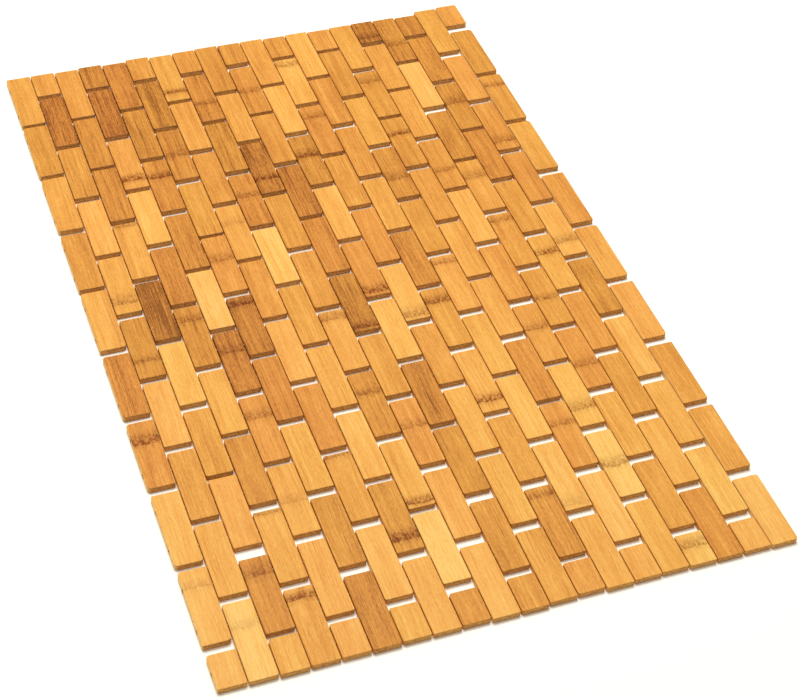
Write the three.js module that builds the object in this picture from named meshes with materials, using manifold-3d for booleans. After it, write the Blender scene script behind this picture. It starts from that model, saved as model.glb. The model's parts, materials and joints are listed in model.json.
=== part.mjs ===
// Roll-up bath mat: rows of flat bamboo slats, strung side by side on elastic cords.
// Millimetres, +Z up. X runs across the rows, along the cords, and Y runs along the slats.
// The mat lies flat, with its underside on z = 0 and its middle on the origin.
// Each row holds nine full slats and one half slat. The half slat is at the -Y end of the
// odd rows and at the +Y end of the even rows, so the gaps are staggered like brickwork.

import * as THREE from "three";
import { mergeVertices } from "three/addons/utils/BufferGeometryUtils.js";
import Module from "manifold-3d";

// The mat
const matWidth = 500;
const matLength = 790;
const thickness = 6;
const rowCount = 20;
const fullSlats = 9; // in each row, besides its half slat
const seam = 0.6; // between neighbouring rows, where the mat bends
const endGap = 8; // between slats end to end, where water drains

// The cords and the holes that they run in
const cordRadius = 0.9;
const boreRadius = 1.5;
const knotRadius = 1.8;
const knotLength = 2.4;
const pocketRadius = 2.4; // sunk in the mat's two outer edges, so that no knot stands out
const pocketDepth = 3.6;
const knotSeat = 0.4; // space between a knot and the floor of its pocket
const roundSides = 6; // of every cord, knot, bore and pocket

// The tongue between two full slats of a row, in the place of the cords' hold on them
const tongueWidth = 3;
const tongueHeight = 1.6;
const tongueGrip = 1; // how far it reaches into each slat

// Worked out from the dimensions above
const slatPitch = (matLength + endGap) / (fullSlats + 0.5);
const slatLength = slatPitch - endGap;
const halfLength = slatPitch / 2 - endGap;
const rowPitch = (matWidth + seam) / rowCount;
const rowWidth = rowPitch - seam;
const cordPitch = slatPitch / 2; // two cords hold each full slat and one holds each half slat
const cordCount = 2 * fullSlats + 1;
const firstCord = halfLength / 2; // from the end of the mat to its nearest cord
const midHeight = thickness / 2;

// Finishes
const bambooColours = [0xe8a850, 0xd99242, 0xf2ba66, 0xc9823c]; // taken in turn, row by row
const bambooRoughness = 0.45;
const cordColour = 0xd8c8a8;
const cordRoughness = 0.8;

const mergeDistance = 1e-4; // vertices nearer than this are one vertex

const wasm = await Module();
wasm.setup();

// Geometry to a manifold solid, with its shared vertices merged, and back
function toSolid(geometry) {
  const bare = geometry.clone();
  bare.deleteAttribute("normal");
  bare.deleteAttribute("uv");
  const merged = mergeVertices(bare, mergeDistance);
  return new wasm.Manifold(new wasm.Mesh({
    numProp: 3,
    vertProperties: new Float32Array(merged.attributes.position.array),
    triVerts: new Uint32Array(merged.index.array),
  }));
}

function toGeometry(solid) {
  const mesh = solid.getMesh();
  const geometry = new THREE.BufferGeometry();
  geometry.setAttribute("position", new THREE.BufferAttribute(mesh.vertProperties, 3));
  geometry.setIndex(new THREE.BufferAttribute(mesh.triVerts, 1));
  geometry.computeVertexNormals();
  return geometry;
}

// A many-sided ring of points about a centre, with flats above and below
function ring(y, z, radius) {
  const turn = (2 * Math.PI) / roundSides;
  return Array.from({ length: roundSides }, (_, i) =>
    new THREE.Vector2(y + radius * Math.cos(i * turn), z + radius * Math.sin(i * turn)));
}

// A shape drawn in Y and Z, pushed along X and centred on x = 0
function pushAlongX(shape, depth) {
  const geometry = new THREE.ExtrudeGeometry(shape, { depth, bevelEnabled: false, steps: 1 });
  geometry.translate(0, 0, -depth / 2);
  const yAxis = new THREE.Vector3(0, 1, 0);
  const zAxis = new THREE.Vector3(0, 0, 1);
  const xAxis = new THREE.Vector3(1, 0, 0);
  return geometry.applyMatrix4(new THREE.Matrix4().makeBasis(yAxis, zAxis, xAxis));
}

// Distances along Y from the mat's -Y end, turned into the mat's own Y
const fromEnd = (distance) => distance - matLength / 2;
const cordYs = Array.from({ length: cordCount }, (_, i) => fromEnd(firstCord + i * cordPitch));

// One slat from y = low to y = high, with a bore for each cord that crosses it
function slat(low, high) {
  const side = new THREE.Shape([
    new THREE.Vector2(low, 0),
    new THREE.Vector2(high, 0),
    new THREE.Vector2(high, thickness),
    new THREE.Vector2(low, thickness),
  ]);
  for (const y of cordYs.filter((cordY) => cordY > low && cordY < high)) {
    side.holes.push(new THREE.Path(ring(y, midHeight, boreRadius)));
  }
  return toSolid(pushAlongX(side, rowWidth));
}

// Where an odd row's full slats begin is half a pitch from where an even row's do
function fullSlatSpans(isOdd) {
  const start = isOdd ? slatPitch / 2 : 0;
  return Array.from({ length: fullSlats }, (_, i) => {
    const low = fromEnd(start + i * slatPitch);
    return [low, low + slatLength];
  });
}

function halfSlatSpan(isOdd) {
  const low = fromEnd(isOdd ? 0 : matLength - halfLength);
  return [low, low + halfLength];
}

function tongue(fromY) {
  const length = endGap + 2 * tongueGrip;
  const box = new THREE.BoxGeometry(tongueWidth, length, tongueHeight);
  box.translate(0, fromY + endGap / 2, midHeight);
  return toSolid(box);
}

// The nine full slats of a row, held in line by tongues
function slatRow(isOdd) {
  const spans = fullSlatSpans(isOdd);
  let row = slat(...spans[0]);
  for (let i = 1; i < fullSlats; i += 1) {
    row = row.add(tongue(spans[i - 1][1])).add(slat(...spans[i]));
  }
  return row;
}

// The pocket for each cord's knot, cut in the -X face where side is -1 or the +X face where it is 1
function cutPockets(solid, side) {
  let cut = solid;
  for (const y of cordYs) {
    const pocket = pushAlongX(new THREE.Shape(ring(y, midHeight, pocketRadius)), 2 * pocketDepth);
    pocket.translate((side * rowWidth) / 2, 0, 0);
    cut = cut.subtract(toSolid(pocket));
  }
  return cut;
}

// One elastic cord from edge to edge of the mat, with a knot at each end
function cord() {
  const knotStart = matWidth / 2 - pocketDepth + knotSeat;
  const knotEnd = knotStart + knotLength;
  const profile = [
    [0, -knotEnd], [knotRadius, -knotEnd], [knotRadius, -knotStart], [cordRadius, -knotStart],
    [cordRadius, knotStart], [knotRadius, knotStart], [knotRadius, knotEnd], [0, knotEnd],
  ].map(([radius, along]) => new THREE.Vector2(radius, along));
  const geometry = new THREE.LatheGeometry(profile, roundSides);
  return geometry.rotateZ(-Math.PI / 2).rotateX(Math.PI / 2);
}

function mesh(name, geometry, colour, roughness) {
  const material = new THREE.MeshStandardMaterial({ color: colour, roughness, metalness: 0 });
  const made = new THREE.Mesh(geometry, material);
  made.name = name;
  return made;
}

const twoDigits = (number) => String(number).padStart(2, "0");
const mat = new THREE.Group();
mat.name = "bath_mat";

for (let row = 1; row <= rowCount; row += 1) {
  const isOdd = row % 2 === 1;
  let fullOnes = slatRow(isOdd);
  let halfOne = slat(...halfSlatSpan(isOdd));
  if (row === 1 || row === rowCount) {
    const side = row === 1 ? -1 : 1;
    fullOnes = cutPockets(fullOnes, side);
    halfOne = cutPockets(halfOne, side);
  }
  const colour = bambooColours[row % bambooColours.length];
  const slats = mesh(`slats_${twoDigits(row)}`, toGeometry(fullOnes), colour, bambooRoughness);
  const halfName = `half_slat_${twoDigits(row)}`;
  const halfSlat = mesh(halfName, toGeometry(halfOne), colour, bambooRoughness);
  const x = (row - (rowCount + 1) / 2) * rowPitch;
  slats.position.x = x;
  halfSlat.position.x = x;
  mat.add(slats, halfSlat);
}

cordYs.forEach((y, i) => {
  const made = mesh(`cord_${twoDigits(i + 1)}`, cord(), cordColour, cordRoughness);
  made.position.set(0, y, midHeight);
  mat.add(made);
});

export default mat;
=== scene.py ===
import json
import math

import bpy
from mathutils import Matrix, Vector

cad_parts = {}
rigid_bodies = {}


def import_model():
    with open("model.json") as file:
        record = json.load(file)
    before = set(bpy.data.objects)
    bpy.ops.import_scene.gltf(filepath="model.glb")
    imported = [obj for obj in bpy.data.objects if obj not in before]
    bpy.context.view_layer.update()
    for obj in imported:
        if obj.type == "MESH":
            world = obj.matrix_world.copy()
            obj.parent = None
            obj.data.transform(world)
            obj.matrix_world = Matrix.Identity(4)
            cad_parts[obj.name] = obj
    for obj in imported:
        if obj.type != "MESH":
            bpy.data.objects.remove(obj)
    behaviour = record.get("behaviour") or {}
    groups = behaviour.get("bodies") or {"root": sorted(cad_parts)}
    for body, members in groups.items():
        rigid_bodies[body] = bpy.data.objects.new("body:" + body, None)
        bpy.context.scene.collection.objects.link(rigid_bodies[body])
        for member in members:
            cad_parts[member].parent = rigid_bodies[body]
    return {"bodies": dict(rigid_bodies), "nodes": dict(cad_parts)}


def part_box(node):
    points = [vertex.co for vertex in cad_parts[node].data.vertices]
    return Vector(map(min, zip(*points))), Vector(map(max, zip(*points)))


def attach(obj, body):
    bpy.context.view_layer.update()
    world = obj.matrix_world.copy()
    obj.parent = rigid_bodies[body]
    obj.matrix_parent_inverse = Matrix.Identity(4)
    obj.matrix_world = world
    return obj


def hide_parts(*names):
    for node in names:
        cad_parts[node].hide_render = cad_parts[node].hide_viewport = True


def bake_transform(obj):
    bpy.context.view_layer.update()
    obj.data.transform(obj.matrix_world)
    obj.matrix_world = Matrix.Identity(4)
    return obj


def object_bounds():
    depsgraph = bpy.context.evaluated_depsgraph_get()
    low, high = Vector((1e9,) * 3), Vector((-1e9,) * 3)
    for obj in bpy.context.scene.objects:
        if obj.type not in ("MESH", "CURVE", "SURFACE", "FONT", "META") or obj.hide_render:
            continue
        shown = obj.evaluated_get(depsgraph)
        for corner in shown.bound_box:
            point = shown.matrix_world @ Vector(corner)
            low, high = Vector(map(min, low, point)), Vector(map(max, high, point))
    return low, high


# A roll-up bath mat of short bamboo slats in staggered rows, strung on elastic cords.
# Metres. X runs across the rows and along the cords, Y along the slats, and Z is up.

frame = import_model()
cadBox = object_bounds()


nodeLayout = {"perLine": 40, "across": 180, "down": 220}


class Wire:
    # One output socket. Python's own operators on it add Math nodes.
    def __init__(self, graph, socket):
        self.graph = graph
        self.socket = socket

    def __add__(self, other):
        return self.graph.maths("ADD", self, other)

    def __radd__(self, other):
        return self.graph.maths("ADD", other, self)

    def __sub__(self, other):
        return self.graph.maths("SUBTRACT", self, other)

    def __rsub__(self, other):
        return self.graph.maths("SUBTRACT", other, self)

    def __mul__(self, other):
        return self.graph.maths("MULTIPLY", self, other)

    def __rmul__(self, other):
        return self.graph.maths("MULTIPLY", other, self)

    def __truediv__(self, other):
        return self.graph.maths("DIVIDE", self, other)

    def __rtruediv__(self, other):
        return self.graph.maths("DIVIDE", other, self)

    def __pow__(self, other):
        return self.graph.maths("POWER", self, other)

    def __neg__(self):
        return self.graph.maths("MULTIPLY", self, -1)

    def __abs__(self):
        return self.graph.maths("ABSOLUTE", self)

    def __gt__(self, other):
        return self.graph.maths("GREATER_THAN", self, other)

    def __lt__(self, other):
        return self.graph.maths("LESS_THAN", self, other)


class Graph:
    # A node tree that is filled from left to right
    def __init__(self, tree):
        self.tree = tree
        tree.nodes.clear()

    def node(self, kind, settings=None, sockets=None):
        made = self.tree.nodes.new(kind)
        line, place = divmod(len(self.tree.nodes), nodeLayout["perLine"])
        made.location = (nodeLayout["across"] * place, -nodeLayout["down"] * line)
        for name, value in (settings or {}).items():
            if name == "stops":
                self.setStops(made.color_ramp, value)
            else:
                setattr(made, name, value)
        for name, value in (sockets or {}).items():
            socket = self.pick(made.inputs, name)
            if isinstance(value, Wire):
                self.tree.links.new(value.socket, socket)
            else:
                socket.default_value = value
        return made

    def out(self, kind, settings=None, sockets=None, output=0):
        made = self.node(kind, settings, sockets)
        return Wire(self, self.pick(made.outputs, output))

    @staticmethod
    def pick(sockets, name):
        if isinstance(name, int):
            return sockets[name]
        return next(socket for socket in sockets if socket.name == name and socket.enabled)

    @staticmethod
    def setStops(ramp, stops):
        while len(ramp.elements) < len(stops):
            ramp.elements.new(0.5)
        for element, (place, colour) in zip(ramp.elements, stops):
            element.position = place
            element.color = colour

    def maths(self, operation, *values, clamp=False):
        settings = {"operation": operation, "use_clamp": clamp}
        return self.out("ShaderNodeMath", settings, dict(enumerate(values)))

    def vector(self, operation, *values):
        settings = {"operation": operation}
        return self.out("ShaderNodeVectorMath", settings, dict(enumerate(values)))

    def split(self, value):
        made = self.node("ShaderNodeSeparateXYZ", None, {0: value})
        return [Wire(self, socket) for socket in made.outputs]

    def join(self, x, y, z):
        return self.out("ShaderNodeCombineXYZ", None, {0: x, 1: y, 2: z})

    def between(self, value, low, high):
        # 0 below low, 1 above high, and a smooth step from one to the other
        return self.out(
            "ShaderNodeMapRange",
            {"interpolation_type": "SMOOTHSTEP"},
            {"Value": value, "From Min": low, "From Max": high},
        )


def linear(red, green, blue):
    # A colour as a screen shows it, 0 to 255, as the light that it stands for (the sRGB curve)
    def channel(value):
        share = value / 255
        return share / 12.92 if share <= 0.04045 else ((share + 0.055) / 1.055) ** 2.4

    return (channel(red), channel(green), channel(blue), 1.0)


def rowName(row):
    return f"{row:02d}"


rowCount = len(frame["bodies"])
fullBoxes = {row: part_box(f"slats_{rowName(row)}") for row in range(1, rowCount + 1)}
halfBoxes = {row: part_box(f"half_slat_{rowName(row)}") for row in range(1, rowCount + 1)}
cordBoxes = [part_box(name) for name in sorted(frame["nodes"]) if name.startswith("cord_")]

fullSlats = 9
barLow, barHigh = fullBoxes[1]
slatWidth = barHigh.x - barLow.x
thickness = barHigh.z - barLow.z
endGap = barLow.y - halfBoxes[1][1].y  # row 1 has its half slat at the -Y end
slatPitch = (barHigh.y - barLow.y + endGap) / fullSlats
slatLength = slatPitch - endGap
halfLength = slatPitch / 2 - endGap
midHeight = (barLow.z + barHigh.z) / 2
matEnd = cadBox[0].y
rowX = {row: (box[0].x + box[1].x) / 2 for row, box in fullBoxes.items()}
rowPitch = rowX[2] - rowX[1]
cordYs = [(box[0].y + box[1].y) / 2 for box in cordBoxes]
cordPitch = cordYs[1] - cordYs[0]


camera = {
    "aim": (0.0097, -0.0847, 0.0),
    "distance": 1.690,
    "turn": -23.08,  # degrees from looking along +Y, positive towards -X
    "height": 44.81,
    "roll": 4.54,
    "lens": 83.97,
}


def makeCamera():
    data = bpy.data.cameras.new("camera")
    data.lens = camera["lens"]
    made = bpy.data.objects.new("camera", data)
    bpy.context.scene.collection.objects.link(made)
    turned = (
        Matrix.Rotation(math.radians(camera["turn"]), 4, "Z")
        @ Matrix.Rotation(math.radians(90 - camera["height"]), 4, "X")
        @ Matrix.Rotation(math.radians(camera["roll"]), 4, "Z")
    )
    place = Vector(camera["aim"]) + turned @ Vector((0, 0, camera["distance"]))
    made.matrix_world = Matrix.Translation(place) @ turned
    bpy.context.scene.camera = made


makeCamera()
print("camera made")


bamboo = {
    # the palest wood to the darkest: slats a to g, and one more at each end for their grain
    "tones": [
        linear(242, 193, 108),
        linear(237, 182, 94),
        linear(234, 171, 82),
        linear(229, 161, 75),
        linear(217, 148, 64),
        linear(207, 137, 58),
        linear(192, 123, 50),
        linear(164, 99, 37),
        linear(134, 76, 26),
    ],
    "nodeStainAndShade": (0.36, 0.2, 0.085, 1),  # what a node's stain leaves of the wood's colour; the painted contact shade at the slats' lower edges uses it too
    "fibreColour": linear(140, 78, 22),
    "endColour": linear(128, 80, 36),
    "paleEndColour": linear(222, 168, 98),
    "outerSideLightColour": linear(242, 202, 132),  # painted light: the long sides of the outer rows, made pale cream as if lit by the floor
    "grain": 0.66,  # how far the grain moves a slat's tone
    "patches": 0.32,  # how far broad patches move it
    "fibres": 0.18,  # how dark the odd dark fibre is
    "waviness": 0.005,
    # How often each layer of the grain changes across, along and up a slat, in times per metre
    "grainScales": {
        "broad": (180, 6, 180),
        "stripes": (780, 9, 780),
        "threads": (2100, 40, 2100),
        "specks": (1100, 260, 1100),
        "dashes": (1100, 42, 1100),
        "patches": (45, 20, 45),
    },
    "grainShares": {"broad": 0.6, "stripes": 0.75, "threads": 1.0, "specks": 0.8},
    "nodeLine": 0.0015,  # half its width
    "nodeArc": 22.0,
    "nodeRipple": 0.004,
    "nodeFray": 0.0016,
    "nodeReach": (0.010, 0.010),  # how far its mottling goes to one side, and how much that varies
    "nodeFarReach": 0.007,  # and to the other side
    "endTint": 0.75,
    "endDotScale": 1100.0,
    "outerSideLightTint": 0.8,
    # painted contact shade at the foot of the sides and ends: how dark it goes, and the heights it
    # fades between
    "contactShade": 0.6,
    "contactShadeHeights": (-0.003, -0.0012),  # above the slat's middle
    "bumpStrength": 0.4,
    "bumpDepth": 0.0003,
    "hueSpread": 0.007,
    "roughness": (0.42, 0.58),
    "gloss": 0.12,
}


def makeBamboo():
    material = bpy.data.materials.new("bamboo")
    material.use_nodes = True
    graph = Graph(material.node_tree)

    def attribute(name, output="Fac"):
        return graph.out("ShaderNodeAttribute", {"attribute_name": name}, None, output)

    def noise(place, scale, detail=2.0, roughness=0.5):
        stretched = graph.vector("MULTIPLY", place, scale)
        sockets = {"Vector": stretched, "Scale": 1.0, "Detail": detail, "Roughness": roughness}
        return graph.out("ShaderNodeTexNoise", None, sockets, "Fac")

    def tint(factor, colour, over, blend="MIX"):
        settings = {"data_type": "RGBA", "blend_type": blend}
        return graph.out("ShaderNodeMix", settings, {0: factor, 6: over, 7: colour}, 2)

    inSlat = attribute("inSlat", "Vector")
    across, along, up = graph.split(inSlat)
    seed = attribute("slatSeed", "Vector")
    place = graph.vector("ADD", inSlat, seed)
    chances = [graph.maths("FRACT", value * 0.37) for value in graph.split(seed)]

    # Straight fibres, a little wavy, in layers from broad stripes to single threads
    scales, shares = bamboo["grainScales"], bamboo["grainShares"]
    drift = noise(place, (30, 12, 30)) - 0.5
    wavy = graph.vector("ADD", place, graph.join(drift * bamboo["waviness"], 0.0, 0.0))
    broad = noise(wavy, scales["broad"]) - 0.5
    stripes = noise(wavy, scales["stripes"], 2.0, 0.6) - 0.5
    threads = noise(wavy, scales["threads"], 2.0, 0.6) - 0.5
    specks = noise(place, scales["specks"], 2.0, 0.6) - 0.5
    patches = noise(place, scales["patches"], 3.0, 0.55) - 0.5
    dashes = graph.between(noise(wavy, scales["dashes"], 2.0, 0.4), 0.62, 0.74)

    slatTone = attribute("slatTone")
    layers = broad * shares["broad"] + stripes * shares["stripes"]
    layers = layers + threads * shares["threads"] + specks * shares["specks"]
    shade = layers * bamboo["grain"] * (0.95 + slatTone * 0.3)  # darker wood shows a little more
    shade = shade + patches * bamboo["patches"]
    tone = graph.maths("ADD", slatTone, shade, clamp=True)
    steps = len(bamboo["tones"]) - 1
    stops = [(index / steps, colour) for index, colour in enumerate(bamboo["tones"])]
    colour = graph.out("ShaderNodeValToRGB", {"stops": stops}, {"Fac": tone}, "Color")
    hue = 0.5 + (chances[1] - 0.5) * bamboo["hueSpread"]
    colour = graph.out("ShaderNodeHueSaturation", None, {"Hue": hue, "Color": colour}, "Color")
    colour = tint(dashes * bamboo["fibres"], bamboo["fibreColour"], colour)

    # The node: a broken line across the slat in a shallow arc, with mottling that fades to one side
    nodeDepth = attribute("nodeDepth")
    arc = across * across * (chances[0] - 0.5) * bamboo["nodeArc"]
    ripple = (noise(place, (110, 6, 110)) - 0.5) * bamboo["nodeRipple"]
    fray = (noise(place, (1100, 30, 1100)) - 0.5) * bamboo["nodeFray"]
    fromNode = along - attribute("nodePlace") + arc + ripple + fray
    line = 1 - graph.between(abs(fromNode), 0.0, bamboo["nodeLine"])
    broken = graph.between(noise(place, (420, 60, 420)), 0.42, 0.66)
    side = graph.between(fromNode, -0.0012, 0.0008)
    reach, reachSpread = bamboo["nodeReach"]
    smudge = side * (1 - graph.between(fromNode, 0.001, reach + chances[2] * reachSpread))
    farSmudge = (1 - side) * (1 - graph.between(-fromNode, 0.0, bamboo["nodeFarReach"]))
    mottle = graph.between(noise(place, (520, 260, 520), 3.0, 0.6), 0.36, 0.64)
    flecks = graph.between(noise(place, (1500, 480, 1500)), 0.52, 0.70)
    nodeMask = line * (0.05 + broken * 0.35) + smudge * (0.25 + mottle * 0.85 + flecks * 0.5)
    nodeMask = nodeMask + farSmudge * (mottle * 0.4 + flecks * 0.35)
    nodeMask = graph.maths("MULTIPLY", nodeMask, nodeDepth, clamp=True)
    colour = tint(nodeMask, bamboo["nodeStainAndShade"], colour, "MULTIPLY")

    # End grain: dark dots of cut fibre bundles on paler wood
    endGrain = attribute("endGrain")
    sockets = {"Vector": place, "Scale": bamboo["endDotScale"]}
    spots = graph.out("ShaderNodeTexVoronoi", None, sockets, "Distance")
    dots = 1 - graph.between(spots, 0.2, 0.55)
    blotches = noise(place, (380, 380, 700), 3.0)
    endMask = graph.maths("ADD", dots * 0.5, graph.between(blotches, 0.3, 0.7) * 0.6, clamp=True)
    endColour = tint(endMask, bamboo["endColour"], bamboo["paleEndColour"])
    colour = tint(endGrain * bamboo["endTint"], endColour, colour)
    # Painted light: the long sides of the outer rows are tinted pale cream
    colour = tint(attribute("rawSide") * bamboo["outerSideLightTint"], bamboo["outerSideLightColour"], colour)
    # Painted contact shade: the sides and ends are darkened towards their lower edges, where the slat
    # meets the floor
    contactShadeMask = (1 - graph.between(up, *bamboo["contactShadeHeights"])) * attribute("sideFace")
    colour = tint(contactShadeMask * bamboo["contactShade"], bamboo["nodeStainAndShade"], colour, "MULTIPLY")

    smooth, rough = bamboo["roughness"]
    roughness = smooth + (rough - smooth) * noise(wavy, (500, 20, 500))
    roughness = graph.maths("ADD", roughness, endGrain * 0.3, clamp=True)
    height = stripes * 0.6 + threads * 0.6 - nodeMask * 0.6 - endGrain * dots * 0.8 - dashes * 0.4
    strength, depth = bamboo["bumpStrength"], bamboo["bumpDepth"]
    sockets = {"Strength": strength, "Distance": depth, "Height": height}
    bump = graph.out("ShaderNodeBump", None, sockets)

    sockets = {"Base Color": colour, "Roughness": roughness, "Normal": bump}
    shader = graph.node("ShaderNodeBsdfPrincipled", None, sockets)
    shader.inputs["Specular IOR Level"].default_value = bamboo["gloss"]
    graph.node("ShaderNodeOutputMaterial", None, {"Surface": Wire(graph, shader.outputs[0])})
    return material


elastic = {
    "sheath": linear(214, 196, 160),
    # painted shade in the braid's valleys between the strands
    "valleyShade": linear(140, 118, 84),
    "strands": 8,
    "braidPitch": 0.0016,
    "roughness": 0.85,
    "wornBy": 0.15,  # how much smoother the raised strands are
    "bumpStrength": 0.6,
    "bumpDepth": 0.0002,
}


def makeElastic():
    material = bpy.data.materials.new("elasticCord")
    material.use_nodes = True
    graph = Graph(material.node_tree)

    def attribute(name):
        return graph.out("ShaderNodeAttribute", {"attribute_name": name}, None, "Fac")

    turn = attribute("cordTurn") * elastic["strands"]
    run = attribute("cordRun") / elastic["braidPitch"]
    fullTurn = 2 * math.pi
    oneWay = graph.maths("SINE", (turn + run) * fullTurn)
    otherWay = graph.maths("SINE", (turn - run) * fullTurn)
    weave = graph.maths("MAXIMUM", oneWay, otherWay) * 0.5 + 0.5
    # Painted shade: the valleys between the raised strands are coloured darker
    settings = {"data_type": "RGBA", "blend_type": "MIX"}
    sockets = {0: weave, 6: elastic["valleyShade"], 7: elastic["sheath"]}
    colour = graph.out("ShaderNodeMix", settings, sockets, 2)
    strength, depth = elastic["bumpStrength"], elastic["bumpDepth"]
    sockets = {"Strength": strength, "Distance": depth, "Height": weave}
    bump = graph.out("ShaderNodeBump", None, sockets)
    roughness = elastic["roughness"] - weave * elastic["wornBy"]
    sockets = {"Base Color": colour, "Roughness": roughness, "Normal": bump}
    shader = graph.node("ShaderNodeBsdfPrincipled", None, sockets)
    graph.node("ShaderNodeOutputMaterial", None, {"Surface": Wire(graph, shader.outputs[0])})
    return material


bambooMaterial = makeBamboo()
elasticMaterial = makeElastic()
print("materials made")


def geometryTree(name, inputs):
    # A geometry node tree with named inputs, given as name: socket type
    tree = bpy.data.node_groups.new(name, "GeometryNodeTree")
    tree.interface.new_socket("Geometry", in_out="OUTPUT", socket_type="NodeSocketGeometry")
    tree.interface.new_socket("Geometry", in_out="INPUT", socket_type="NodeSocketGeometry")
    for inputName, socketType in inputs.items():
        tree.interface.new_socket(inputName, in_out="INPUT", socket_type="NodeSocket" + socketType)
    return tree


def grown(name, mesh, tree, values):
    # The tree's result on a mesh, as a plain mesh object
    piece = bpy.data.objects.new(name, mesh)
    bpy.context.scene.collection.objects.link(piece)
    modifier = piece.modifiers.new(tree.name, "NODES")
    modifier.node_group = tree
    for item in tree.interface.items_tree:
        if item.in_out == "INPUT" and item.name in values:
            modifier[item.identifier] = values[item.name]
    bpy.context.view_layer.update()
    depsgraph = bpy.context.evaluated_depsgraph_get()
    result = bpy.data.meshes.new_from_object(piece.evaluated_get(depsgraph), depsgraph=depsgraph)
    piece.modifiers.clear()
    piece.data = result
    result.name = name
    return piece


class GeometryGraph(Graph):
    def __init__(self, tree):
        super().__init__(tree)
        entry = tree.nodes.new("NodeGroupInput")
        self.given = {socket.name: Wire(self, socket) for socket in entry.outputs if socket.name}

    def keep(self, geometry, name, value, kind="FLOAT", domain="POINT"):
        settings = {"data_type": kind, "domain": domain}
        sockets = {"Geometry": geometry, "Name": name, "Value": value}
        return self.out("GeometryNodeStoreNamedAttribute", settings, sockets)

    def kept(self, name, kind="FLOAT"):
        settings = {"data_type": kind}
        return self.out("GeometryNodeInputNamedAttribute", settings, {"Name": name})

    def random(self, low, high, number, seed):
        sockets = {"Min": low, "Max": high, "ID": number, "Seed": seed}
        return self.out("FunctionNodeRandomValue", {"data_type": "FLOAT"}, sockets, "Value")

    def place(self, geometry, position):
        sockets = {"Geometry": geometry, "Position": position}
        return self.out("GeometryNodeSetPosition", None, sockets)

    def finishWith(self, geometry, material):
        whole = self.out("GeometryNodeRealizeInstances", None, {"Geometry": geometry})
        sockets = {"Geometry": whole, "Material": material}
        dressed = self.out("GeometryNodeSetMaterial", None, sockets)
        self.node("NodeGroupOutput", None, {"Geometry": dressed})


slats = {
    "width": 0.99,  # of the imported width: planing takes a little more from the real edges
    "easing": 0.0007,  # the rounding of the long edges and the ends
    "cornerRadius": (0.0009, 0.0024),
    "outerCornerRadius": (0.0014, 0.0036),  # the outer rows are worn rounder
    "longerRows": (0.0012, -0.0002),  # how much longer than drawn the slats are, from row 1 to row 20
    "longerSlats": (0.0016, -0.0011),  # and the same from the +Y end of a row to its -Y end
    "paintedShadeRows": (0.1, 0.0),  # painted shade: how far a slat's tone is moved darker along the scale, from row 1 to row 20
    "paintedShadeSlats": (0.6, -0.55),  # and the same from the +Y end of a row to its -Y end
    "lengthSpread": 0.0009,
    "shiftSpread": 0.0012,
    "sideSpread": 0.00008,
    "thicknessSpread": 0.00012,
    "turnSpread": 0.0011,  # radians
    "boreRadius": 0.0015,
    "pocketRadius": 0.0024,
    "pocketDepth": 0.0036,
    "seed": 7,
    "seedStep": 20,  # from one row to the next
    "seedRange": 40.0,  # how far apart two slats' grain is taken from
    "toneLetters": "abcdefg",  # from the palest slat to the darkest
    # One word for each row, from its +Y end, with a letter for each slat
    "tones": [
        "cdcdcedbbb", "cfdbcebdca", "ceecgbdcec", "efcbeececd", "eeeeafdccc",
        "dfeddfecef", "ccdcdbddbc", "deeeadcbec", "dcfddcecae", "dddfefddcb",
        "cbebdbfeee", "dbdddbdccd", "bddcedcded", "cdcedccbbc", "cdddccedbc",
        "fccdbddbac", "eaecdddcdb", "eeeedcddce", "ccddbebcbc", "cddcdccddb",
    ],
    # Tenths of the slat's length from its +Y end to its node, or a dot for a slat without one
    "nodes": [
        "......3.2.", "....87...3", "...0....2.", "..8..2..01", "..3..335..",
        "..5.41....", "8..3...0..", ".6.4....8.", "..7..139..", ".5...9.4..",
        "..4.9.....", ".12..9....", ".....28.1.", "...6.1..9.", ".23....3..",
        "8..6..475.", "6..3156..4", "..4..3....", "..8.7.....", "..2.......",
    ],
    "nodeDepth": 0.62,
    "darkNodeDepth": 1.0,
    "faintNodeDepth": 0.3,
    # (row, slat from the +Y end) of the nodes that are darker or fainter than the rest
    "darkNodes": [(4, 3), (4, 10), (5, 3), (6, 6), (7, 1), (8, 9), (9, 3), (9, 8), (10, 6),
                  (11, 3), (11, 5), (13, 6), (13, 7), (15, 3), (18, 6), (1, 7)],
    "faintNodes": [(2, 10), (1, 9), (5, 8), (7, 4), (14, 9)],
    # (row, slat from the +Y end): how far it has crept along its row
    "crept": {(20, 1): 0.006, (19, 1): 0.003, (17, 2): 0.002, (17, 3): -0.002, (3, 8): 0.002,
              (3, 9): -0.002, (20, 2): -0.0015},
}

slatInputs = {
    "Width": "Float",
    "Thickness": "Float",
    "Easing": "Float",
    "Smallest Corner": "Float",
    "Largest Corner": "Float",
    "Length Spread": "Float",
    "Shift Spread": "Float",
    "Side Spread": "Float",
    "Thickness Spread": "Float",
    "Turn Spread": "Float",
    "Bore Radius": "Float",
    "Bore Count": "Int",
    "Bore Pitch": "Float",
    "First Bore": "Vector",
    "Cut Pockets": "Bool",
    "Pocket Radius": "Float",
    "Pocket Depth": "Float",
    "First Pocket": "Vector",
    "Seed": "Int",
    "Material": "Material",
}


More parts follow.
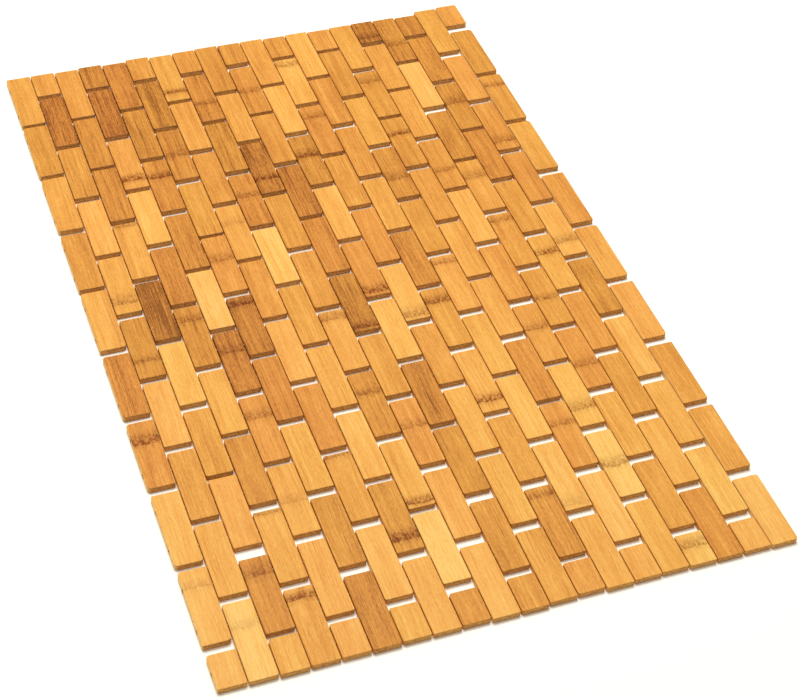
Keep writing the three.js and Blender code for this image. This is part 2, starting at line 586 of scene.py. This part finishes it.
def makeSlatTree():
    # From one point for each slat to a row of bored slats with eased edges
    tree = geometryTree("slatRow", slatInputs)
    graph = GeometryGraph(tree)
    given = graph.given
    seed = given["Seed"]
    number = graph.out("GeometryNodeInputIndex")

    # Each slat's own size, shift and turn, kept on its point
    def spread(name, draw):
        return graph.random(-1.0, 1.0, number, seed + draw) * given[name]

    length = graph.kept("slatLength") + spread("Length Spread", 0)
    shift = graph.kept("slatShift") + spread("Shift Spread", 1)
    sideways = spread("Side Spread", 2)
    thick = given["Thickness"] + spread("Thickness Spread", 3)
    turn = spread("Turn Spread", 4)
    x, y, z = graph.split(graph.out("GeometryNodeInputPosition"))
    centre = graph.join(x + sideways, y + shift, z)
    size = graph.join(given["Width"], length, thick)
    drawn = [graph.random(0.0, slats["seedRange"], number, seed + draw) for draw in (5, 6, 7)]
    points = graph.keep(given["Geometry"], "slatCentre", centre, "FLOAT_VECTOR")
    points = graph.keep(points, "slatSize", size, "FLOAT_VECTOR")
    points = graph.keep(points, "slatTurn", turn)
    points = graph.keep(points, "slatNumber", number)
    points = graph.keep(points, "slatSeed", graph.join(*drawn), "FLOAT_VECTOR")

    # A plain drum of 16 sides in 6 levels: four points to a corner, three levels to an edge
    sides, levels = 16, 5
    ring = graph.out(
        "GeometryNodeMeshCylinder",
        {"fill_type": "NGON"},
        {"Vertices": sides, "Side Segments": levels, "Radius": 1.0, "Depth": 1.0},
        "Mesh",
    )
    ringX, ringY, ringZ = graph.split(graph.out("GeometryNodeInputPosition"))
    angle = graph.maths("ARCTAN2", ringY, ringX) / (2 * math.pi)
    around = graph.maths("FLOORED_MODULO", graph.maths("ROUND", angle * sides), float(sides))
    ring = graph.keep(ring, "around", around)
    ring = graph.keep(ring, "level", graph.maths("ROUND", (ringZ + 0.5) * levels))
    copies = graph.out("GeometryNodeInstanceOnPoints", None, {"Points": points, "Instance": ring})
    blanks = graph.out("GeometryNodeRealizeInstances", None, {"Geometry": copies})

    # Each vertex goes to its place on a slat with round corners and eased edges
    around, level = graph.kept("around"), graph.kept("level")
    perCorner = 4.0
    corner = graph.maths("FLOOR", around / perCorner)
    heading = corner * math.radians(90) + (around - corner * perCorner) * math.radians(30)
    signX = 1.0 - 2.0 * graph.maths("COMPARE", corner, 1.5, 0.6)
    signY = 1.0 - 2.0 * (corner > 1.5)
    cornerNumber = graph.kept("slatNumber") * perCorner + corner
    radius = graph.random(0.0, 1.0, cornerNumber, seed + 9) ** 2.0
    radius = given["Smallest Corner"] + radius * (given["Largest Corner"] - given["Smallest Corner"])
    fromEnd = graph.maths("MINIMUM", level, levels - level)
    slope = graph.maths("MINIMUM", fromEnd, 2.0) * math.radians(45)
    inset = given["Easing"] * (1.0 - graph.maths("SINE", slope))
    rise = given["Easing"] * (1.0 - graph.maths("COSINE", slope))
    sizeX, sizeY, sizeZ = graph.split(graph.kept("slatSize", "FLOAT_VECTOR"))
    reach = radius - inset
    flatX = signX * (sizeX * 0.5 - radius) + graph.maths("COSINE", heading) * reach
    flatY = signY * (sizeY * 0.5 - radius) + graph.maths("SINE", heading) * reach
    isUpper = level > 2.5
    height = rise + isUpper * (sizeZ - rise * 2.0)
    turn = graph.kept("slatTurn")
    centreX, centreY, centreZ = graph.split(graph.kept("slatCentre", "FLOAT_VECTOR"))
    place = graph.join(centreX + flatX - turn * flatY, centreY + flatY + turn * flatX, height)
    blanks = graph.place(blanks, place)

    # A bore for each cord, and in the mat's outer rows a pocket for each knot
    def holes(first, radius, depth, sides):
        tool = graph.out(
            "GeometryNodeMeshCylinder",
            {"fill_type": "NGON"},
            {"Vertices": sides, "Radius": radius, "Depth": depth},
            "Mesh",
        )
        sockets = {"Geometry": tool, "Rotation": (0.0, math.radians(90), 0.0)}
        lying = graph.out("GeometryNodeTransform", None, sockets)
        spacing = graph.join(0.0, given["Bore Pitch"], 0.0)
        line = graph.out(
            "GeometryNodeMeshLine",
            None,
            {"Count": given["Bore Count"], "Start Location": first, "Offset": spacing},
        )
        sockets = {"Points": line, "Instance": lying}
        copies = graph.out("GeometryNodeInstanceOnPoints", None, sockets)
        return graph.out("GeometryNodeRealizeInstances", None, {"Geometry": copies})

    def cutAway(body, tools):
        settings = {"operation": "DIFFERENCE", "solver": "MANIFOLD"}
        return graph.out("GeometryNodeMeshBoolean", settings, {0: body, 1: tools}, "Mesh")

    bores = holes(given["First Bore"], given["Bore Radius"], given["Width"] * 1.5, 12)
    bored = cutAway(blanks, bores)
    pockets = holes(given["First Pocket"], given["Pocket Radius"], given["Pocket Depth"] * 2.0, 20)
    sockets = {"Switch": given["Cut Pockets"], "False": bored, "True": cutAway(bored, pockets)}
    cut = graph.out("GeometryNodeSwitch", {"input_type": "GEOMETRY"}, sockets)

    # What the finish needs to know, read back from the slat that each vertex belongs to
    here = graph.out("GeometryNodeInputPosition")

    def fromBlank(name, kind="FLOAT"):
        sockets = {"Mesh": blanks, "Value": graph.kept(name, kind), "Sample Position": here}
        return graph.out("GeometryNodeSampleNearestSurface", {"data_type": kind}, sockets, "Value")

    centre = fromBlank("slatCentre", "FLOAT_VECTOR")
    made = graph.keep(cut, "inSlat", graph.vector("SUBTRACT", here, centre), "FLOAT_VECTOR")
    for name, kind in (("slatSeed", "FLOAT_VECTOR"), ("slatTone", "FLOAT"),
                       ("nodePlace", "FLOAT"), ("nodeDepth", "FLOAT")):
        made = graph.keep(made, name, fromBlank(name, kind), kind)
    normalX, normalY, normalZ = graph.split(graph.out("GeometryNodeInputNormal", output="Normal"))
    endGrain = graph.between(abs(normalY), 0.5, 0.8)
    made = graph.keep(made, "endGrain", endGrain, "FLOAT", "FACE")
    # the outer rows' long sides, which take the painted light
    rawSide = graph.between(abs(normalX), 0.5, 0.9) * given["Cut Pockets"]
    made = graph.keep(made, "rawSide", rawSide, "FLOAT", "FACE")
    # The side and end faces, which take the painted contact shade
    sideFace = 1.0 - graph.between(abs(normalZ), 0.5, 0.9)
    made = graph.keep(made, "sideFace", sideFace, "FLOAT", "FACE")
    graph.finishWith(made, given["Material"])
    return tree


def mixed(ends, share):
    return ends[0] + (ends[1] - ends[0]) * share


def slatPoints(row):
    # One point for each slat of a row, with what is known of that slat, from the -Y end
    isOdd = row % 2 == 1
    start = matEnd + (slatPitch / 2 if isOdd else 0)
    spans = [(start + index * slatPitch, slatLength) for index in range(fullSlats)]
    if isOdd:
        spans.insert(0, (matEnd, halfLength))
    else:
        spans.append((start + fullSlats * slatPitch, halfLength))
    mesh = bpy.data.meshes.new(f"slatPoints{rowName(row)}")
    mesh.from_pydata([(rowX[row], edge + size / 2, midHeight) for edge, size in spans], [], [])

    count = len(spans)
    tones, nodes = slats["tones"][row - 1], slats["nodes"][row - 1]
    facts = {"slatLength": [], "slatShift": [], "slatTone": [], "nodePlace": [], "nodeDepth": []}
    for index, (edge, size) in enumerate(spans):
        fromFar = count - index  # the slats are listed from the +Y end
        rowShare, slatShare = (row - 1) / (rowCount - 1), (fromFar - 1) / (count - 1)
        # Painted shade across the mat: darker towards row 1 and the +Y end, lighter towards the -Y
        # end
        darker = mixed(slats["paintedShadeRows"], rowShare) + mixed(slats["paintedShadeSlats"], slatShare)
        step = slats["toneLetters"].index(tones[fromFar - 1]) + 1 + darker
        mark = nodes[fromFar - 1]
        depth = 0.0 if mark == "." else slats["nodeDepth"]
        if (row, fromFar) in slats["darkNodes"]:
            depth = slats["darkNodeDepth"]
        if (row, fromFar) in slats["faintNodes"]:
            depth = slats["faintNodeDepth"]
        share = 0.0 if mark == "." else (int(mark) + 0.5) / 10
        longer = mixed(slats["longerRows"], rowShare) + mixed(slats["longerSlats"], slatShare)
        facts["slatLength"].append(size + longer)
        facts["slatShift"].append(slats["crept"].get((row, fromFar), 0.0))
        facts["slatTone"].append(step / (len(bamboo["tones"]) - 1))
        facts["nodePlace"].append(size / 2 - share * size)
        facts["nodeDepth"].append(depth)
    for name, values in facts.items():
        mesh.attributes.new(name, "FLOAT", "POINT").data.foreach_set("value", values)
    return mesh


slatTree = makeSlatTree()
for row in range(1, rowCount + 1):
    isEdge = row in (1, rowCount)
    corners = slats["outerCornerRadius"] if isEdge else slats["cornerRadius"]
    edgeX = rowX[row] + (slatWidth / 2) * (-1 if row == 1 else 1)
    values = {
        "Width": slatWidth * slats["width"],
        "Thickness": thickness,
        "Easing": slats["easing"],
        "Smallest Corner": corners[0],
        "Largest Corner": corners[1],
        "Length Spread": slats["lengthSpread"],
        "Shift Spread": slats["shiftSpread"],
        "Side Spread": slats["sideSpread"],
        "Thickness Spread": slats["thicknessSpread"],
        "Turn Spread": slats["turnSpread"],
        "Bore Radius": slats["boreRadius"],
        "Bore Count": len(cordYs),
        "Bore Pitch": cordPitch,
        "First Bore": (rowX[row], cordYs[0], midHeight),
        "Cut Pockets": isEdge,
        "Pocket Radius": slats["pocketRadius"],
        "Pocket Depth": slats["pocketDepth"],
        "First Pocket": (edgeX, cordYs[0], midHeight),
        "Seed": slats["seed"] + slats["seedStep"] * row,
        "Material": bambooMaterial,
    }
    piece = grown(f"row_slats_{rowName(row)}", slatPoints(row), slatTree, values)
    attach(piece, f"row_{rowName(row)}")
    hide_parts(f"slats_{rowName(row)}", f"half_slat_{rowName(row)}")
print("slats made:", rowCount, "rows")


cords = {
    "radius": 0.0009,
    "sides": 8,
    "rings": 8,
    "crowding": 2.3,  # how closely the rings crowd towards the seam, where the cord bends
    "bend": 0.0016,  # the cord bends this far to each side of a seam
    "knotTube": 0.00062,
    "knotRadius": 0.00100,
    "knotLength": 0.0011,
    "knotSwell": 0.38,  # how far the knot's loops swing in and out
    "knotSteps": 36,
    "knotSides": 6,
}

cordInputs = {
    "Radius": "Float",
    "Half Run": "Float",
    "Crowding": "Float",
    "Cord Count": "Int",
    "Cord Pitch": "Float",
    "First Cord": "Vector",
    "Material": "Material",
}


def cordLine(graph, tube):
    # Copies of one tube, at each cord's place
    given = graph.given
    spacing = graph.join(0.0, given["Cord Pitch"], 0.0)
    sockets = {"Count": given["Cord Count"], "Start Location": given["First Cord"], "Offset": spacing}
    line = graph.out("GeometryNodeMeshLine", None, sockets)
    return graph.out("GeometryNodeInstanceOnPoints", None, {"Points": line, "Instance": tube})


def makeCordTree():
    # The stretches of all the cords between the middles of two rows
    tree = geometryTree("cordStretches", cordInputs)
    graph = GeometryGraph(tree)
    given = graph.given
    tube = graph.out(
        "GeometryNodeMeshCylinder",
        {"fill_type": "NGON"},
        {"Vertices": cords["sides"], "Side Segments": cords["rings"], "Radius": 1.0, "Depth": 2.0},
        "Mesh",
    )
    x, y, z = graph.split(graph.out("GeometryNodeInputPosition"))
    run = graph.maths("SIGN", z) * abs(z) ** given["Crowding"] * given["Half Run"]
    turn = graph.maths("ARCTAN2", y, x) / (2 * math.pi)
    tube = graph.keep(tube, "cordTurn", turn)
    tube = graph.keep(tube, "cordRun", run)
    x, y, z = graph.split(graph.out("GeometryNodeInputPosition"))
    place = graph.join(graph.kept("cordRun"), y * given["Radius"], -x * given["Radius"])
    tube = graph.place(tube, place)
    graph.finishWith(cordLine(graph, tube), given["Material"])
    return tree


def makeKnotTree():
    # A stopper knot at each cord's end: a loop that winds twice round while it weaves three times
    sizes = {"Tube": "Float", "Knot Radius": "Float", "Knot Length": "Float"}
    tree = geometryTree("knots", {**cordInputs, **sizes})
    graph = GeometryGraph(tree)
    given = graph.given

    def ring(points, radius):
        sockets = {"Resolution": points, "Radius": radius}
        return graph.out("GeometryNodeCurvePrimitiveCircle", {"mode": "RADIUS"}, sockets)

    circle = ring(cords["knotSteps"], 1.0)
    x, y, z = graph.split(graph.out("GeometryNodeInputPosition"))
    angle = graph.maths("ARCTAN2", y, x)
    swell = cords["knotSwell"]
    wide = given["Knot Radius"] * (1 - swell + swell * graph.maths("COSINE", angle * 3.0))
    place = graph.join(
        graph.maths("SINE", angle * 3.0) * given["Knot Length"] * 0.5,
        graph.maths("COSINE", angle * 2.0) * wide,
        graph.maths("SINE", angle * 2.0) * wide,
    )
    loop = graph.place(circle, place)
    profile = ring(cords["knotSides"], given["Tube"])
    knot = graph.out("GeometryNodeCurveToMesh", None, {"Curve": loop, "Profile Curve": profile})
    x, y, z = graph.split(graph.out("GeometryNodeInputPosition"))
    knot = graph.keep(knot, "cordTurn", graph.maths("ARCTAN2", z, y) / (2 * math.pi))
    knot = graph.keep(knot, "cordRun", x)
    graph.finishWith(cordLine(graph, knot), given["Material"])
    return tree


cordTree = makeCordTree()
knotTree = makeKnotTree()
cordNodes = [name for name in frame["nodes"] if name.startswith("cord_")]


def cordValues(x, halfRun, crowding):
    return {
        "Radius": cords["radius"],
        "Half Run": halfRun,
        "Crowding": crowding,
        "Cord Count": len(cordYs),
        "Cord Pitch": cordPitch,
        "First Cord": (x, cordYs[0], midHeight),
        "Material": elasticMaterial,
    }


for row in range(1, rowCount):
    seamX = (rowX[row] + rowX[row + 1]) / 2
    name = f"cords_{rowName(row)}_{rowName(row + 1)}"
    values = cordValues(seamX, rowPitch / 2, cords["crowding"])
    piece = grown(name, bpy.data.meshes.new(name), cordTree, values)
    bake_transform(piece)
    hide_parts(*cordNodes)

for row, side in ((1, -1), (rowCount, 1)):
    knotX = side * (cordBoxes[0][1].x - cords["knotLength"] / 2 - cords["knotTube"])
    fromX = rowX[row]
    name = f"cord_ends_{rowName(row)}"
    values = cordValues((fromX + knotX) / 2, abs(knotX - fromX) / 2, 1.0)
    piece = grown(name, bpy.data.meshes.new(name), cordTree, values)
    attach(piece, f"row_{rowName(row)}")
    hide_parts(*cordNodes)

    name = f"knots_{rowName(row)}"
    values = {
        **cordValues(knotX, 0.0, 1.0),
        "Tube": cords["knotTube"],
        "Knot Radius": cords["knotRadius"],
        "Knot Length": cords["knotLength"],
    }
    piece = grown(name, bpy.data.meshes.new(name), knotTree, values)
    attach(piece, f"row_{rowName(row)}")
    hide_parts(*cordNodes)
print("cords made:", len(cordYs))


studio = {
    "floorSize": 30.0,
    "floorColour": (0.95, 0.92, 0.85, 1),
    "floorGlow": (1.0, 0.92, 0.75, 1),  # a lit table: it fills the shadows from below
    "floorGlowStrength": 0.1,
    "floorRoughness": 0.9,
    "floorGloss": 0.1,
    "worldColour": (1.0, 0.97, 0.9, 1),
    "worldStrength": 0.36,
    "keyPlace": (0.0, 0.9, 3.4),
    "keySize": 1.8,
    "keyPower": 116.0,
}


def makeStudio():
    mesh = bpy.data.meshes.new("floor")
    half = studio["floorSize"] / 2
    corners = [(-half, -half, 0), (half, -half, 0), (half, half, 0), (-half, half, 0)]
    mesh.from_pydata(corners, [], [(0, 1, 2, 3)])
    floor = bpy.data.objects.new("floor", mesh)
    bpy.context.scene.collection.objects.link(floor)
    material = bpy.data.materials.new("floor")
    material.use_nodes = True
    shader = material.node_tree.nodes["Principled BSDF"]
    shader.inputs["Base Color"].default_value = studio["floorColour"]
    shader.inputs["Roughness"].default_value = studio["floorRoughness"]
    shader.inputs["Emission Color"].default_value = studio["floorGlow"]
    shader.inputs["Emission Strength"].default_value = studio["floorGlowStrength"]
    shader.inputs["Specular IOR Level"].default_value = studio["floorGloss"]
    mesh.materials.append(material)

    world = bpy.data.worlds.new("studio")
    world.use_nodes = True
    background = world.node_tree.nodes["Background"]
    background.inputs["Color"].default_value = studio["worldColour"]
    background.inputs["Strength"].default_value = studio["worldStrength"]
    bpy.context.scene.world = world

    light = bpy.data.lights.new("key", "AREA")
    light.shape = "DISK"
    light.size = studio["keySize"]
    light.energy = studio["keyPower"]
    key = bpy.data.objects.new("key", light)
    key.location = studio["keyPlace"]
    key.rotation_euler = (-Vector(studio["keyPlace"])).to_track_quat("-Z", "Y").to_euler()
    bpy.context.scene.collection.objects.link(key)
    bpy.context.scene.view_settings.view_transform = "Standard"


makeStudio()
print("studio made")
